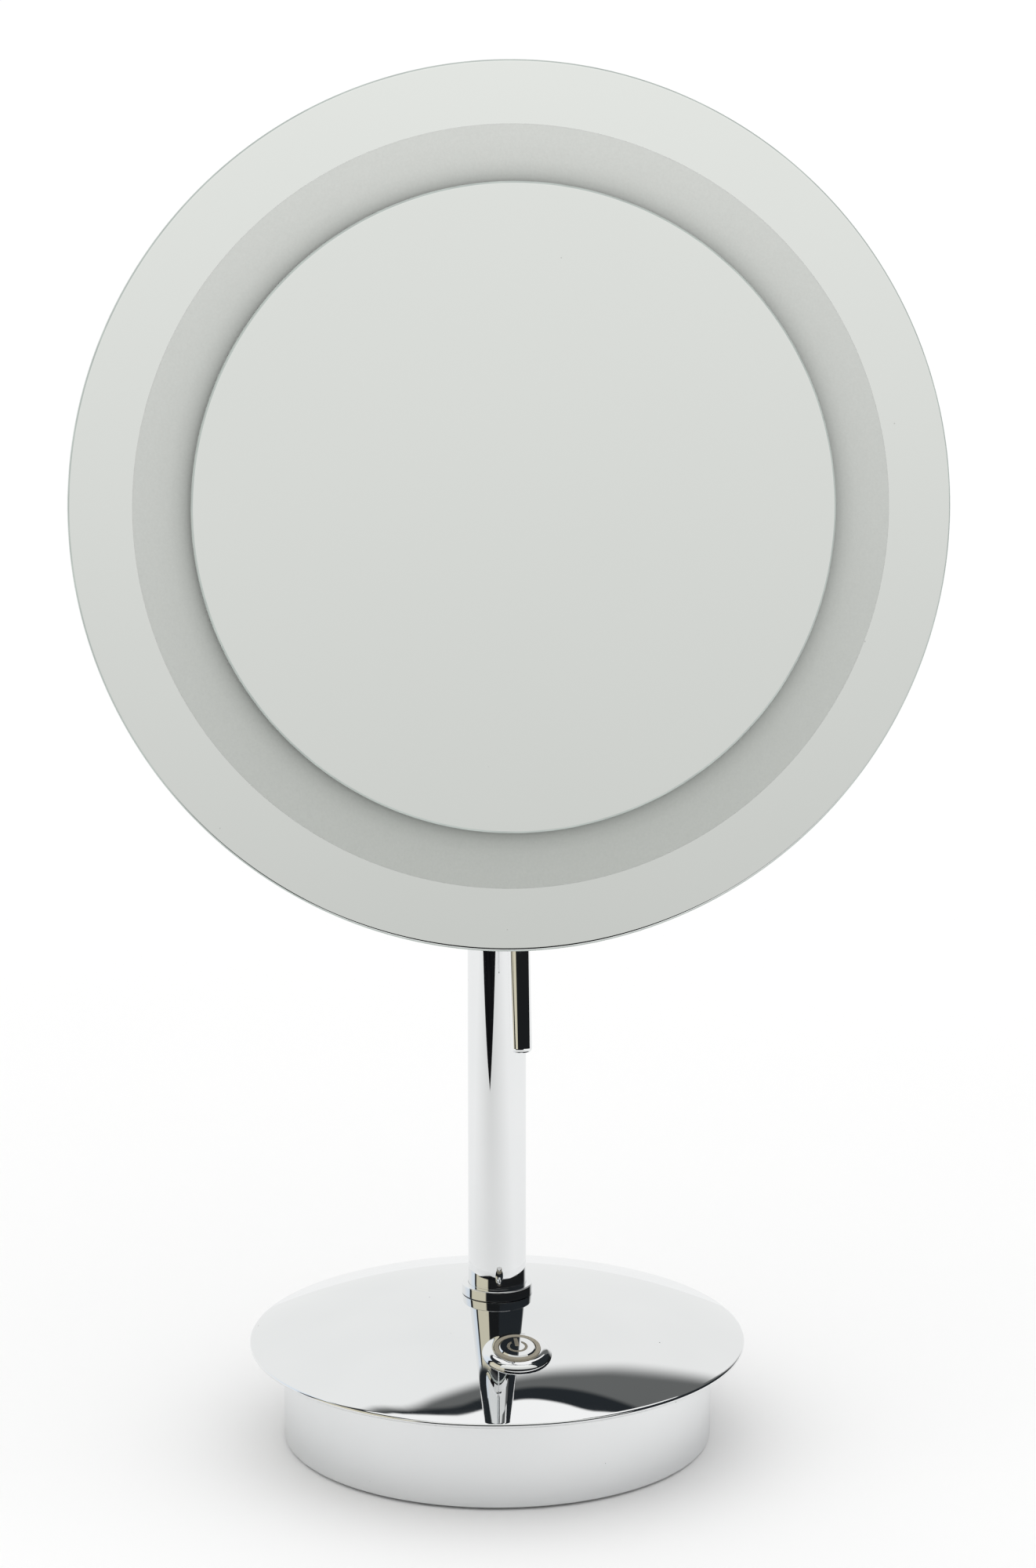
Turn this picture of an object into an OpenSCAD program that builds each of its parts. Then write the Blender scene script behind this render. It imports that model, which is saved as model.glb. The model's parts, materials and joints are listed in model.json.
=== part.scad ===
// Lighted vanity mirror: a round two-zone mirror head with an LED ring, tilting on a
// forked stem that swivels in a domed, battery-powered base with a push button.
// Frame: +Z up, front towards -Y, origin at the centre of the base on the table.
// Units: millimetres.

/* [Head] */
// Diameter of the whole mirror face
face_d = 203; // [196:1:210]
// Outer diameter of the frosted light ring
light_ring_d = 174; // [172:1:176]
// Diameter of the raised magnifying mirror
magnifier_d = 148; // [146:1:150]
// Radius of curvature of the magnifying mirror
magnifier_curve = 900; // [800:50:1200]
// Height of the magnifying mirror's edge above the face
magnifier_rise = 3.2; // [3:0.1:4]
// Depth of the head behind the face
head_depth = 18; // [18:0.5:19]
// How far the face leans back in the stored pose, in degrees
rest_tilt = 9; // [6:1:12]
// Number of LEDs round the ring
led_count = 48; // [36:1:60]

/* [Handle] */
// Diameter of the adjusting handle
handle_d = 5; // [4:0.5:6]
// Distance from the centre of the face to the tip of the handle
handle_reach = 126; // [122:1:134]

/* [Stem] */
// Diameter of the stem
stem_d = 14; // [14:0.1:15]
// Wall of the stem
stem_wall = 1.3; // [1.2:0.1:1.4]
// Height of the tilt axis above the table
pivot_z = 230; // [200:1:250]
// Distance from the tilt axis to the face
face_reach = 31; // [31:0.5:33]
// Diameter of the swivel collar
collar_d = 17.1; // [17:0.1:18]

/* [Base] */
// Diameter of the domed cover
dome_d = 121.2; // [120:0.2:126]
// Height of the cover's rim above the table
rim_z = 24.5; // [24:0.1:25]
// Rise of the dome from its rim to its top
dome_rise = 11.9; // [11.6:0.1:12.4]
// Diameter of the drum
drum_d = 104; // [104:0.5:108]
// Thickness of the cover and the drum
sheet_t = 1.2; // [1.1:0.1:1.3]

/* [Button] */
// Distance of the push button from the middle of the base
button_out = 34.6; // [34:0.1:36]
// Diameter of the button's ring
bezel_d = 16.5; // [16:0.1:17]
// Travel of the button
button_travel = 0.8; // [0.5:0.1:0.9]

/* [Hidden] */
$fn = 128;

// --- Base ---
rim_r = dome_d / 2;
dome_curve = (rim_r * rim_r + dome_rise * dome_rise) / (2 * dome_rise);
apex_z = rim_z + dome_rise;
dome_centre_z = apex_z - dome_curve;
drum_r = drum_d / 2;
drum_in = drum_r - sheet_t;
drum_z = 0.8;
drum_top = dome_under(drum_r - 0.3) - 0.15;
flange_r = 38;
stud_out = 43;
stud_angles = [90, 210, 330];
stud_r = 1.5;
stud_hole = 1.7;
ballast_r = 48;
ballast_top = drum_top - sheet_t;
ballast_z = ballast_top - 4.4;

// --- Bottom pan and battery bay ---
foot_h = 2.4;
foot_r = 3.6;
foot_out = 46;
pan_z = 1.2;
pan_top = 3.4;
pan_r = drum_in - 0.2;
bay = [59.2, 55];
bay_wall = 1.5;
bay_roof = 18;
bay_top = 19.2;
door = [59, 54];
door_t = 1.8;
door_gap = 0.3;
hinge_y = door[1] / 2 - 0.8;
hinge_z = pan_z + door_t / 2;
hinge_r = 0.6;
cell_r = 7.1;
cell_pitch = 14.5;
cell_body = 49.2;
cell_nub = 1.2;
cell_z = 10.6;
contact_t = 0.4;
board = [12, 26, 1.6];
board_at = [34, -12, 6];

// --- Swivel ---
collar_r = collar_d / 2;
collar_h = 2.55;
collar_z = apex_z - 0.09;
collar_top = collar_z + collar_h;
stem_r = stem_d / 2;
stem_in = stem_r - stem_wall;
stem_z = collar_z + 1.2;
spindle_r = 5;
spindle_bore = 3.2;
run_gap = 0.06;
seat = 0.02;
washer_r = 7.4;
washer_t = 0.35;
under_z = dome_under(9);
washer_z = under_z - 1.05;
stop_z = washer_z - 1;
wave_z = stop_z - 0.8;
nut_z = wave_z - 3;

// --- Tilt hinge ---
fork_z = pivot_z - 13;
fork_plug = 12;
slot_w = 6.3;
slot_z = pivot_z - 9;
tongue_w = 5;
tongue_r = 6.2;
pin_r = 2;
pin_head_r = 3.4;
ear_seat = 5.2;
pin_end = 6.6;

// --- Button, in its own frame: local z = 0 is the dome's surface ---
button_z = dome_centre_z + sqrt(dome_curve * dome_curve - button_out * button_out);
button_tilt = asin(button_out / dome_curve);
bezel_r = bezel_d / 2;
barrel_r = 5.5;
cap_bore = 4.5;
cap_r = 4.42;
cap_z = 0.2;
cap_top = 2.1;
well_z = -3;
plunger_r = 2;

// --- Head, in its own frame: local z = 0 is the face, local y runs up it ---
face_r = face_d / 2;
light_r = light_ring_d / 2;
mag_r = magnifier_d / 2;
glass_t = 3;
mag_t = 2.6;
mag_mid = magnifier_rise - mag_r * mag_r / (2 * magnifier_curve);
tape_t = 0.8;
carrier_t = 2.2;
skirt_r = mag_r - 6;
skirt_t = 2;
trough_in = mag_r - 3.8;
trough_t = 1.2;
trough_z = -12;
board_t = 1.6;
frame_z = -4.6;
gasket_t = 0.4;
shell_r = face_r - 1.2;
shell_t = 1.6;
shell_edge = -13;
back_r = 72;
back_z = -head_depth;
inner_back = back_z + shell_t;
screw_out = 40;
lug_r = 12;
lug_t = 3;
lug_screw_out = 8.6;
handle_r = handle_d / 2;
handle_z = -8.6;

// ------------------------------------------------------------------ helpers

// Points on an elliptic arc about c with radii r, from angle a to angle b.
function arc(c, r, a, b, n = 8) =
    [for (i = [0:n]) let (t = a + (b - a) * i / n) [c[0] + r[0] * cos(t), c[1] + r[1] * sin(t)]];

// Points of a helix about the z axis.
function helix(radius, height, turns, steps) =
    [for (i = [0:steps]) let (t = 360 * turns * i / steps)
        [radius * cos(t), radius * sin(t), height * i / steps]];

function unit(v) = v / norm(v);

// Direction of a path at its point i.
function along(p, i) = unit(p[min(i + 1, len(p) - 1)] - p[max(i - 1, 0)]);

// One ring of a swept tube. The reference vector is never along the path.
function ring_at(c, t, r, sides, ref) =
    let (u = unit(cross(t, ref)), v = cross(t, u))
    [for (j = [0:sides - 1]) c + r * (cos(360 * j / sides) * u + sin(360 * j / sides) * v)];

// A round tube swept along a path as one closed solid.
module sweep(path, r, sides = 8, ref = [0.31, 0.53, 0.79]) {
    n = len(path);
    points = [for (i = [0:n - 1]) each ring_at(path[i], along(path, i), r, sides, ref)];
    walls = [for (i = [0:n - 2], j = [0:sides - 1])
        let (a = i * sides + j, b = i * sides + (j + 1) % sides)
        each [[a, b + sides, b], [a, a + sides, b + sides]]];
    near = [for (j = [0:sides - 1]) j];
    far = [for (j = [sides - 1:-1:0]) (n - 1) * sides + j];
    polyhedron(points, concat([near], walls, [far]));
}

// A solid of revolution about z from its outline.
module lathe(outline) {
    rotate_extrude() polygon(outline);
}

module ring(outer, inner, z, h) {
    lathe([[inner, z], [outer, z], [outer, z + h], [inner, z + h]]);
}

module round_the_base(radius, angles) {
    for (a = angles) rotate([0, 0, a]) translate([radius, 0, 0]) children();
}

// Countersunk screw: its flat head at z = 0, its point upwards.
module flat_screw(head, shank, length) {
    cylinder(r1 = head, r2 = shank, h = head - shank);
    translate([0, 0, head - shank]) cylinder(r = shank, h = length - head + shank);
}

// Height of the domed cover's inner surface at radius r.
function dome_under(r) = dome_centre_z + sqrt(pow(dome_curve - sheet_t, 2) - r * r);

// Back of the magnifying mirror at radius r.
function mag_back(r) = mag_mid - mag_t + r * r / (2 * magnifier_curve);

// Places children in the button's frame on the dome.
module at_button() {
    translate([0, -button_out, button_z]) rotate([button_tilt, 0, 0]) children();
}

// Places children in the head's frame.
module at_head() {
    translate([0, 0, pivot_z]) rotate([90 - rest_tilt, 0, 0])
        translate([0, 0, face_reach]) children();
}

// Room for the push switch through the ballast and the drum's flange.
module switch_room() {
    at_button() translate([0, 0, -14]) cylinder(r = 8.2, h = 12);
}

// ------------------------------------------------------------------ base

// Spherical cover with a round edge and holes for the spindle and the switch.
module base_dome() {
    edge = asin((rim_r - sheet_t / 2) / dome_curve);
    mid = dome_curve - sheet_t / 2;
    hole = 5.6;
    outer = [for (i = [0:24]) let (a = asin(hole / dome_curve) * (1 - i / 24) + edge * i / 24)
        [dome_curve * sin(a), dome_centre_z + dome_curve * cos(a)]];
    inner = [for (i = [24:-1:0])
        let (a = asin(hole / (dome_curve - sheet_t)) * (1 - i / 24) + edge * i / 24)
        [(dome_curve - sheet_t) * sin(a), dome_centre_z + (dome_curve - sheet_t) * cos(a)]];
    lip = arc([mid * sin(edge), dome_centre_z + mid * cos(edge)], [sheet_t / 2, sheet_t / 2],
        80 - edge, -80 - edge);
    color("silver") difference() {
        lathe(concat(outer, lip, inner));
        at_button() translate([0, 0, -4]) cylinder(r = 5.8, h = 8);
    }
}

// Drum under the cover: a drawn wall with an inward flange at the top.
module base_drum() {
    color("silver") difference() {
        lathe([
            [drum_in, drum_z], [drum_r - 0.4, drum_z], [drum_r, drum_z + 0.4],
            [drum_r, drum_top - 0.3], [drum_r - 0.3, drum_top], [flange_r, drum_top],
            [flange_r, drum_top - sheet_t], [drum_in, drum_top - sheet_t]
        ]);
        round_the_base(stud_out, stud_angles)
            translate([0, 0, drum_top - 3]) cylinder(r = stud_hole, h = 6);
        switch_room();
    }
}

// Thrust washer on the top of the dome; the collar turns on it and hides it.
module collar_washer() {
    color("ivory") ring(washer_r, spindle_r + run_gap, collar_z, washer_t);
}

// Post under the cover that the stop washer's tab meets at either end of its turn.
module stop_post() {
    out = 11.2;
    top = dome_under(out + 1.8);
    color("silver") translate([0, out, stop_z - 0.3]) cylinder(r = 1.2, h = top - stop_z + 0.3);
}

// Cast ballast that keeps the mirror standing.
module ballast_plate() {
    lead_hole = [34, 8];
    color("dimgray") difference() {
        lathe([
            [7, ballast_z], [ballast_r - 0.8, ballast_z], [ballast_r, ballast_z + 0.8],
            [ballast_r, ballast_top - 0.2], [ballast_r - 0.2, ballast_top], [7, ballast_top]
        ]);
        round_the_base(stud_out, stud_angles)
            translate([0, 0, ballast_z - 1]) cylinder(r = stud_hole, h = 8);
        translate([lead_hole[0], lead_hole[1], ballast_z - 1]) cylinder(r = 3, h = 8);
        switch_room();
    }
}

// Studs welded under the cover.
module dome_studs() {
    top = dome_under(stud_out + stud_r);
    color("gray") round_the_base(stud_out, stud_angles)
        translate([0, 0, 12]) cylinder(r = stud_r, h = top - 12);
}

// Hexagonal pillars that clamp the ballast and carry the pan.
module standoffs() {
    color("goldenrod") round_the_base(stud_out, stud_angles)
        translate([0, 0, pan_top]) difference() {
            cylinder(r = 3.175, h = ballast_z - pan_top, $fn = 6);
            translate([0, 0, -1]) cylinder(r = stud_r, h = ballast_z);
        }
}

// Bottom pan with the battery bay, foot pockets and door hinge holes.
module base_pan() {
    color([0.13, 0.13, 0.14]) difference() {
        union() {
            translate([0, 0, pan_z]) cylinder(r = pan_r, h = pan_top - pan_z);
            translate([-bay[0] / 2 - bay_wall, -bay[1] / 2 - bay_wall, pan_z])
                cube([bay[0] + 2 * bay_wall, bay[1] + 2 * bay_wall, bay_top - pan_z]);
            for (y = [-8, 10]) translate([board_at[0] + board[0] / 2, y, pan_top])
                cylinder(r = 2, h = board_at[2] - pan_top);
        }
        translate([-bay[0] / 2, -bay[1] / 2, 0]) cube([bay[0], bay[1], bay_roof]);
        translate([-door[0] / 2 - door_gap, -door[1] / 2 - door_gap, 0])
            cube([door[0] + 2 * door_gap, door[1] + 2 * door_gap + 0.1, pan_top]);
        for (s = [-1, 1]) translate([s * door[0] / 2, hinge_y, hinge_z]) rotate([0, s * 90, 0])
            cylinder(r = hinge_r + run_gap, h = 2);
        round_the_base(foot_out, [45, 135, 225, 315])
            cylinder(r = foot_r + 0.05, h = foot_h);
        round_the_base(stud_out, stud_angles) translate([0, 0, pan_z - 0.01]) {
            cylinder(r1 = 2.95, r2 = 1.6, h = 1.35);
            cylinder(r = 1.6, h = 4);
        }
        translate([bay[0] / 2 - 1, -10, 14]) rotate([0, 90, 0]) cylinder(r = 1.5, h = 4);
    }
}

module pan_screws() {
    color("gray") round_the_base(stud_out, stud_angles)
        translate([0, 0, pan_z + 0.05]) flat_screw(2.8, stud_r, 8);
}

module rubber_feet() {
    color([0.1, 0.1, 0.1]) round_the_base(foot_out, [45, 135, 225, 315])
        lathe([[0, 0], [foot_r - 0.4, 0], [foot_r, 0.4], [foot_r, foot_h], [0, foot_h]]);
}

// Sign of the y direction that cell i's positive end points in.
function cell_side(i) = i % 2 == 0 ? 1 : -1;
function cell_x(i) = (i - 1.5) * cell_pitch;

module at_cell(i) {
    translate([cell_x(i), cell_side(i) * (bay[1] / 2 - contact_t - 0.02), cell_z])
        rotate([cell_side(i) * 90, 0, 0]) children();
}

// One AA cell; local z = 0 is the tip of its positive end.
module cell(i) {
    shoulder = cell_nub;
    color([0.72, 0.47, 0.2]) at_cell(i) lathe([
        [0, 0], [2.6, 0], [2.6, shoulder], [cell_r - 0.6, shoulder],
        [cell_r, shoulder + 0.6], [cell_r, cell_nub + cell_body - 0.5],
        [cell_r - 0.5, cell_nub + cell_body], [0, cell_nub + cell_body]
    ]);
}

module battery_1() { cell(0); }
module battery_2() { cell(1); }
module battery_3() { cell(2); }
module battery_4() { cell(3); }

// Contact plates: pairs of cells are bridged so that the four are in series.
module battery_contacts() {
    pairs = [[-1, 1.5, 1], [1, 2.5, 2], [1, 0.5, 2], [-1, 0, 1], [-1, 3, 1]];
    color("gold") for (p = pairs) {
        wide = p[2] * cell_pitch - 3;
        translate([cell_x(p[1]) - wide / 2,
            p[0] * (bay[1] / 2 - contact_t / 2) - contact_t / 2, cell_z - 4.5])
            cube([wide, contact_t, 9]);
    }
}

// A compression spring behind the flat end of each cell.
module battery_springs() {
    room = bay[1] - 2 * contact_t - cell_nub - cell_body - 0.04;
    wire = 0.3;
    color("silver") for (i = [0:3]) at_cell(i)
        translate([0, 0, cell_nub + cell_body + wire + 0.03])
            sweep(helix(3, room - 2 * wire - 0.08, 2.5, 30), wire, 6, [0, 0, 1]);
}

module driver_board() {
    color("seagreen") translate(board_at) cube(board);
}

module driver_components() {
    top = board_at[2] + board[2];
    middle = board_at[0] + board[0] / 2;
    color([0.2, 0.2, 0.22]) {
        translate([middle, 7, top]) cylinder(r = 3, h = 4);
        translate([middle, -6, top]) cylinder(r = 2.5, h = 6);
        translate([middle - 2.5, -1.5, top]) cube([5, 4, 1.5]);
    }
}

// Leads in the base: battery to board, board to switch, board to the stem.
module base_wiring() {
    color("firebrick") {
        sweep([[29, -10, 14], [31, -10, 14], [33, -10, 13], [35, -9.6, 10.5], [36, -9.5, 8.4]], 0.6);
        sweep([[38, -11, 8.6], [36, -14, 9], [33.4, -17, 9.6], [32.6, -20, 10], [32.6, -24, 10.3],
            [32.4, -29, 10.5], [30, -33, 10.5], [25, -35.5, 10.5], [17, -37.6, 10.5], [9, -37, 10.6],
            [4.6, -34.8, 13], [2.5, -32.6, 16], [2.05, -31.9, 19]], 0.6);
        sweep([[36.5, 10.5, 8.6], [35, 10, 10.5], [34.2, 8.6, 14], [34, 8, 18], [34, 8, 23.8],
            [33.2, 7.8, 25.4], [31.6, 7.4, 26.1], [22, 5, 26.4], [8, 1.8, 27.3],
            [2.2, 0.5, 27.6]], 0.7);
    }
}

// ------------------------------------------------------------------ button

// Domed ring that frames the push button; its outer edge rests on the dome.
module switch_bezel() {
    bore = barrel_r + 0.05;
    centre = [5.3, -0.15];
    color("silver") at_button() lathe(concat(
        [[bore, -0.05]],
        arc(centre, [bezel_r - centre[0], 1.65], 0, 84, 16),
        [[bore, 1.3]]
    ));
}

// Switch: threaded barrel, body and two terminals, with a well for the cap and plunger.
module switch_body() {
    barrel_top = 1.9;
    body_z = -10.6;
    color([0.78, 0.76, 0.68]) at_button() {
        difference() {
            union() {
                translate([0, 0, -8]) cylinder(r = barrel_r, h = 8 + barrel_top);
                translate([0, 0, body_z]) cylinder(r = 4.6, h = -7.99 - body_z);
            }
            translate([0, 0, well_z]) cylinder(r = cap_bore, h = 6);
            translate([0, 0, well_z - 4]) cylinder(r = plunger_r + run_gap, h = 5);
        }
        for (s = [-1, 1]) translate([s * 2 - 0.5, -0.25, body_z - 3]) cube([1, 0.5, 3]);
    }
}

module switch_nut() {
    color("silver") at_button() translate([0, 0, -3.4]) difference() {
        cylinder(r = 7.2, h = 2, $fn = 6);
        translate([0, 0, -1]) cylinder(r = barrel_r, h = 4);
    }
}

module button_spring() {
    wire = 0.22;
    room = cap_z - well_z;
    color("gray") at_button() translate([0, 0, well_z + wire + 0.04])
        sweep(helix(3.1, room - 2 * wire - 0.08, 4, 56), wire, 6, [0, 0, 1]);
}

// Push cap with its plunger; the symbol lies in a shallow groove.
module power_button() {
    color("silver") at_button() difference() {
        union() {
            lathe([
                [0, cap_z], [cap_r, cap_z], [cap_r, cap_top - 0.35],
                [cap_r - 0.35, cap_top], [0, cap_top]
            ]);
            translate([0, 0, well_z - 2.8]) cylinder(r = plunger_r, h = cap_z - well_z + 3);
        }
        symbol_shape(0.15, 0.02);
    }
}

// Generic power sign: an open ring and a bar. Local y points to the back.
module symbol_shape(depth, grow) {
    outer = 2.45 + grow;
    inner = 1.8 - grow;
    bar = 0.9 + 2 * grow;
    gap = 2.3;
    translate([0, 0, cap_top - depth]) {
        difference() {
            cylinder(r = outer, h = 1);
            translate([0, 0, -1]) cylinder(r = inner, h = 3);
            translate([-gap / 2 + grow, 0, -1]) cube([gap - 2 * grow, 4, 3]);
        }
        translate([-bar / 2, 0.1 - grow, 0]) cube([bar, 3.5 + 2 * grow, 1]);
    }
}

module power_symbol() {
    color([0.75, 0.7, 0.62]) at_button() intersection() {
        symbol_shape(0.15, 0);
        cylinder(r = cap_r, h = cap_top);
    }
}

// ------------------------------------------------------------------ battery door

module battery_door() {
    grip = 14;
    color([0.16, 0.16, 0.17]) {
        difference() {
            translate([-door[0] / 2, -door[1] / 2, pan_z])
                cube([door[0], door[1] / 2 + hinge_y, door_t]);
            for (i = [0:3]) translate([-grip / 2, -door[1] / 2 + 3 + 1.6 * i, pan_z - 0.1])
                cube([grip, 0.8, 0.6]);
        }
        translate([-door[0] / 2, hinge_y, hinge_z]) rotate([0, 90, 0])
            cylinder(r = door_t / 2, h = door[0]);
        translate([-door[0] / 2 - 1.6, hinge_y, hinge_z]) rotate([0, 90, 0])
            cylinder(r = hinge_r, h = door[0] + 3.2);
    }
}

// ------------------------------------------------------------------ stem

module stem_tube() {
    color("silver") ring(stem_r, stem_in, stem_z, fork_z - stem_z);
}

// Collar at the foot of the stem: it turns on the thrust washer, inside its short skirt.
module collar() {
    seat_z = collar_z + washer_t + 0.05;
    color("silver") lathe([
        [spindle_r + seat, seat_z], [washer_r + 0.1, seat_z], [washer_r + 0.1, collar_z],
        [collar_r, collar_z], [collar_r, collar_top - 0.25], [collar_r - 0.25, collar_top],
        [stem_r + seat, collar_top], [stem_r + seat, stem_z], [spindle_r + seat, stem_z]
    ]);
}

// Hollow threaded spindle: pressed into the stem, turning in the dome's top.
module swivel_spindle() {
    plug_top = stem_z + 13.6;
    color("gray") lathe([
        [spindle_bore, nut_z - 0.2], [spindle_r - 0.4, nut_z - 0.2], [spindle_r, nut_z + 0.2],
        [spindle_r, stem_z], [stem_in, stem_z], [stem_in, plug_top - 0.6],
        [stem_in - 0.6, plug_top], [spindle_bore, plug_top]
    ]);
}

module swivel_washer() {
    color("ivory") ring(9, spindle_r, washer_z, 1);
}

// Keyed washer whose tab meets the stop post.
module stop_washer() {
    color("gray") difference() {
        union() {
            translate([0, 0, stop_z]) cylinder(r = 8.5, h = 1);
            translate([-1.5, -12.2, stop_z]) cube([3, 6, 1]);
        }
        translate([0, 0, stop_z - 1]) cylinder(r = spindle_r, h = 3);
    }
}

module wave_washer() {
    color("gray") ring(8, spindle_r, wave_z, 0.8);
}

module lock_nut() {
    color("goldenrod") translate([0, 0, nut_z]) difference() {
        cylinder(r = 8.08, h = 3, $fn = 6);
        translate([0, 0, -1]) cylinder(r = spindle_r, h = 5);
    }
}

// Fork in the top of the stem: a plug, a round neck and two ears with a domed top.
module stem_fork() {
    color("silver") difference() {
        union() {
            translate([0, 0, fork_z - fork_plug]) cylinder(r = stem_in, h = fork_plug + 1);
            translate([0, 0, fork_z]) cylinder(r = stem_r, h = pivot_z - fork_z);
            translate([0, 0, pivot_z]) sphere(r = stem_r);
        }
        translate([-slot_w / 2, -stem_r - 1, slot_z]) cube([slot_w, 2 * stem_r + 2, 30]);
        translate([0, 0, fork_z - fork_plug - 1]) cylinder(r = 1.8, h = 30);
        translate([-stem_r - 1, 0, pivot_z]) rotate([0, 90, 0])
            cylinder(r = pin_r, h = 2 * stem_r + 2);
        for (s = [-1, 1]) translate([s * ear_seat, 0, pivot_z]) rotate([0, s * 90, 0])
            cylinder(r = pin_head_r + 0.1, h = 4);
    }
}

// Slotted pivot pin through the fork, along x.
module tilt_pin() {
    color("silver") difference() {
        translate([0, 0, pivot_z]) rotate([0, 90, 0]) {
            translate([0, 0, -ear_seat - 1.2]) cylinder(r = pin_r, h = 2 * ear_seat + 1.2);
            translate([0, 0, ear_seat]) cylinder(r = pin_head_r, h = pin_end - ear_seat);
        }
        translate([pin_end - 0.6, -4, pivot_z - 0.4]) cube([1, 8, 0.8]);
    }
}

module tilt_nut() {
    color("silver") translate([-pin_end, 0, pivot_z]) rotate([0, 90, 0])
        ring(pin_head_r, pin_r, 0, pin_end - ear_seat);
}

// Brass washers each side of the lug: they set the tilt friction and carry the current.
module friction_washers() {
    color("gold") translate([0, 0, pivot_z]) rotate([0, 90, 0])
        for (z = [tongue_w / 2 + 0.02, -tongue_w / 2 - 0.62])
            ring(5.6, pin_r, z, 0.6);
}

module stem_wiring() {
    start = nut_z - 0.1;
    color("firebrick") translate([0, 0, start]) cylinder(r = 1, h = slot_z - 0.3 - start, $fn = 32);
}

// ------------------------------------------------------------------ head

// Flat silvered glass round the light ring.
module outer_mirror_ring() {
    color([0.85, 0.87, 0.86]) at_head() lathe([
        [light_r + 0.1, -glass_t], [face_r - 0.4, -glass_t], [face_r, -glass_t + 0.4],
        [face_r, -0.5], [face_r - 0.5, 0], [light_r + 0.1, 0]
    ]);
}

// Frosted ring that the LEDs shine through.
module diffuser_ring() {
    color([0.76, 0.77, 0.76]) at_head() ring(light_r - 0.1, trough_in + 0.2, -glass_t, glass_t);
}

// Concave glass mirror, standing proud of the face.
module magnifying_mirror() {
    steps = 24;
    front = [for (i = [steps:-1:0]) let (r = (mag_r - 0.4) * i / steps)
        [r, mag_mid + r * r / (2 * magnifier_curve)]];
    back = [for (i = [0:steps]) let (r = (mag_r - 0.3) * i / steps) [r, mag_back(r)]];
    color([0.84, 0.86, 0.85]) at_head() lathe(concat(
        back, [[mag_r, mag_back(mag_r) + 0.3], [mag_r, magnifier_rise - 0.4]], front
    ));
}

// Foam tape between the magnifying mirror and its carrier.
module mirror_tape() {
    steps = 8;
    inner = 45;
    wide = skirt_r - 3 - inner;
    top = [for (i = [steps:-1:0]) let (r = inner + wide * i / steps) [r, mag_back(r) - seat]];
    low = [for (i = [0:steps]) let (r = inner + wide * i / steps) [r, mag_back(r) + seat - tape_t]];
    color("ivory") at_head() lathe(concat(low, top));
}

// Plastic dish that carries the magnifying mirror on the housing's back.
module mirror_carrier() {
    steps = 12;
    top = [for (i = [steps:-1:0]) let (r = skirt_r * i / steps) [r, mag_back(r) - tape_t]];
    low = [for (i = [0:steps]) let (r = (skirt_r - skirt_t) * i / steps)
        [r, mag_back(r) - tape_t - carrier_t]];
    color("whitesmoke") at_head() difference() {
        union() {
            lathe(concat(low, [[skirt_r - skirt_t, inner_back], [skirt_r, inner_back]], top));
            for (a = [30, 150, 270]) rotate([0, 0, a]) translate([screw_out, 0, inner_back])
                cylinder(r = 4, h = mag_back(screw_out) - tape_t - 1 - inner_back);
        }
        for (a = [30, 150, 270]) rotate([0, 0, a]) translate([screw_out, 0, inner_back - 1])
            cylinder(r = 1.2, h = 9);
        translate([-3, skirt_r - 5, inner_back - 1]) cube([6, 8, 3.6]);
    }
}

// White U-section ring that holds the LED board and throws its light forward.
module reflector_trough() {
    outer = light_r + 0.2;
    top = -glass_t;
    color("white") at_head() difference() {
        lathe([
            [trough_in, trough_z], [outer, trough_z], [outer, top], [outer - trough_t, top],
            [outer - trough_t, trough_z + trough_t], [trough_in + trough_t, trough_z + trough_t],
            [trough_in + trough_t, top], [trough_in, top]
        ]);
        translate([0, light_r - 11, trough_z - 1]) cylinder(r = 1.6, h = 3);
    }
}

module led_board() {
    color("white") at_head()
        ring(light_r - 2, trough_in + 2.6, trough_z + trough_t, board_t);
}

module leds() {
    size = [2.8, 3.5, 0.7];
    middle = (light_r - 2 + trough_in + 2.6) / 2;
    color("khaki") at_head() for (i = [0:led_count - 1]) rotate([0, 0, 360 * (i + 0.5) / led_count])
        translate([middle - size[0] / 2, -size[1] / 2, trough_z + trough_t + board_t])
            cube(size);
}

// Ring frame that the outer glass is taped to; its skirt plugs into the housing.
module glass_frame() {
    top = -glass_t - gasket_t;
    skirt = shell_r - shell_t - 0.1;
    color("silver") at_head() difference() {
        lathe([
            [light_r + 0.6, frame_z], [skirt - 1.2, frame_z], [skirt - 1.2, -11],
            [skirt, -11], [skirt, frame_z + 0.1], [shell_r, frame_z + 0.1], [shell_r, top],
            [light_r + 0.6, top]
        ]);
        rim_screw_places() cylinder(r = 1, h = 20);
        handle_place() cylinder(r = 1.6, h = 20, center = true);
    }
}

module glass_gasket() {
    color([0.2, 0.2, 0.2]) at_head()
        ring(shell_r - 0.6, light_r + 1, -glass_t - gasket_t, gasket_t);
}

// Rim screw axes, pointing outwards from inside the skirt.
module rim_screw_places() {
    for (a = [30, 150, 210, 330]) rotate([0, 0, a])
        translate([shell_r - 6, 0, -7.8]) rotate([0, 90, 0]) children();
}

// Where the handle passes through the bottom of the housing's rim, z outwards.
module handle_place() {
    translate([0, -shell_r, handle_z]) rotate([90, 0, 0]) children();
}

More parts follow.
